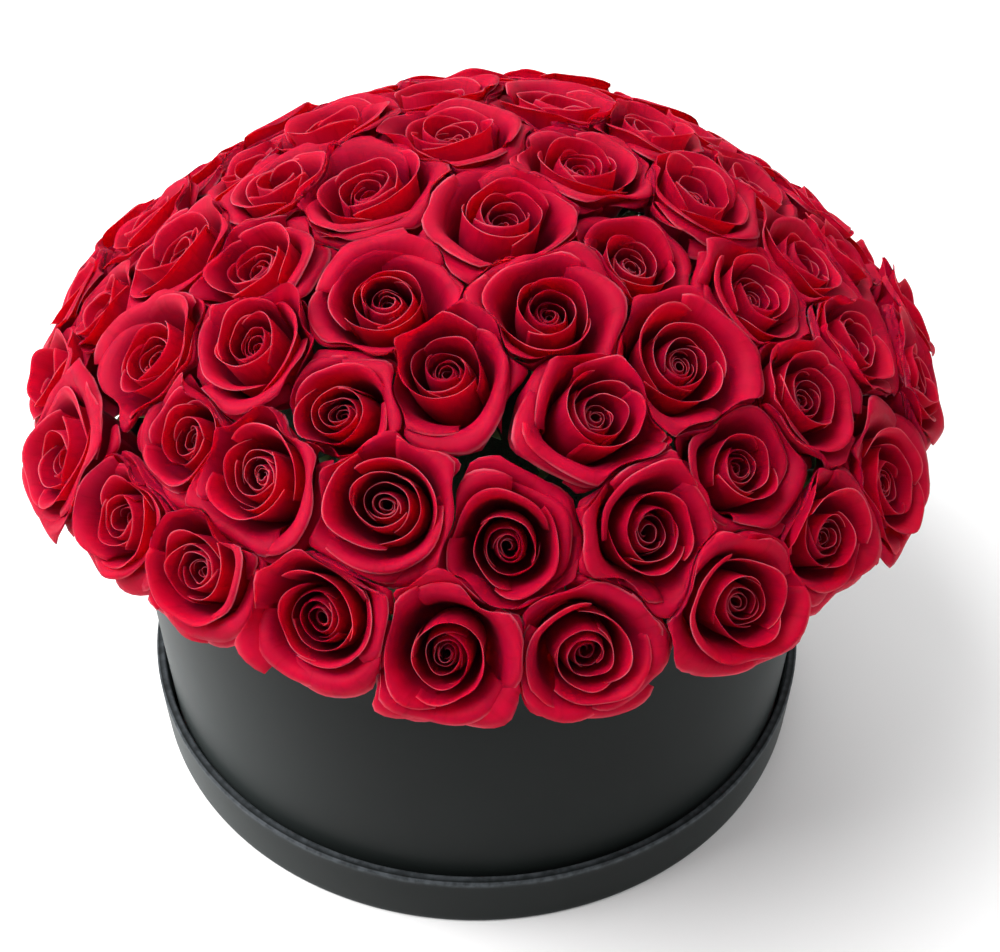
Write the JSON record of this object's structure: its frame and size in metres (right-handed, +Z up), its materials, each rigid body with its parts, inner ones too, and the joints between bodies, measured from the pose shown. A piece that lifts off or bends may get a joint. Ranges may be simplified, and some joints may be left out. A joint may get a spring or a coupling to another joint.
{
  "type": "flower box",
  "caption": "Round paper-covered hat box standing in its upturned lid, filled with a dome of cut red roses held in wet floral foam.",
  "frame": {"origin": "centre of the tray's underside, on the surface the box stands on", "axes": "+Z up along the box's axis; -Y is the front, the side the picture sees; +X to the right of that view"},
  "size_m": [0.4034, 0.398, 0.3016],
  "materials": {
    "black_paper": "satin",
    "lining_paper": "matte",
    "greyboard": "matte",
    "liner_plastic": "satin",
    "floral_foam": "matte",
    "petals": "satin",
    "calyx_green": "satin",
    "stem_green": "satin",
    "leaf_green": "satin"
  },
  "bodies": {
    "tray": {"tray_face_paper": "black_paper", "tray_wrap": "black_paper", "tray_floor_board": "greyboard", "tray_rim_board": "greyboard", "tray_lining": "lining_paper"},
    "drum": {"drum_base_paper": "black_paper", "drum_wrap": "black_paper", "drum_base_board": "greyboard", "drum_wall_board": "greyboard", "drum_floor_paper": "lining_paper", "drum_lining": "lining_paper"},
    "arrangement": {"liner": "liner_plastic", "foam_lower_left": "floral_foam", "foam_lower_middle": "floral_foam", "foam_lower_right": "floral_foam", "foam_upper_front": "floral_foam", "foam_upper_middle": "floral_foam", "foam_upper_back": "floral_foam", "foam_crown": "floral_foam", "ring_2_blooms": "petals", "ring_2_calyxes": "calyx_green", "ring_2_stems": "stem_green", "ring_3_blooms": "petals", "ring_3_calyxes": "calyx_green", "ring_3_stems": "stem_green", "ring_4_blooms": "petals", "ring_4_calyxes": "calyx_green", "ring_4_stems": "stem_green", "ring_5_blooms": "petals", "ring_5_calyxes": "calyx_green", "ring_5_stems": "stem_green", "ring_4_leaves": "leaf_green", "ring_5_leaves": "leaf_green"},
    "crown_rose_1": {"crown_rose_1_bloom": "petals", "crown_rose_1_calyx": "calyx_green", "crown_rose_1_stem": "stem_green"},
    "crown_rose_2": {"crown_rose_2_bloom": "petals", "crown_rose_2_calyx": "calyx_green", "crown_rose_2_stem": "stem_green"},
    "crown_rose_3": {"crown_rose_3_bloom": "petals", "crown_rose_3_calyx": "calyx_green", "crown_rose_3_stem": "stem_green"},
    "crown_rose_4": {"crown_rose_4_bloom": "petals", "crown_rose_4_calyx": "calyx_green", "crown_rose_4_stem": "stem_green"}
  },
  "joints": [
    {"name": "drum_lift", "type": "slide", "parent": "tray", "child": "drum", "axis": [0, 0, 1], "range_m": [0, 0.05]},
    {"name": "arrangement_lift", "type": "slide", "parent": "drum", "child": "arrangement", "axis": [0, 0, 1], "range_m": [0, 0.165]},
    {"name": "crown_rose_1_pull", "type": "slide", "parent": "arrangement", "child": "crown_rose_1", "axis": [-0.0507, 0.0811, 0.9954], "range_m": [0, 0.155]},
    {"name": "crown_rose_2_pull", "type": "slide", "parent": "arrangement", "child": "crown_rose_2", "axis": [0.0046, -0.1878, 0.9822], "range_m": [0, 0.155]},
    {"name": "crown_rose_3_pull", "type": "slide", "parent": "arrangement", "child": "crown_rose_3", "axis": [0.1782, -0.0128, 0.9839], "range_m": [0, 0.155]},
    {"name": "crown_rose_4_pull", "type": "slide", "parent": "arrangement", "child": "crown_rose_4", "axis": [-0.215, -0.0869, 0.9727], "range_m": [0, 0.155]}
  ]
}
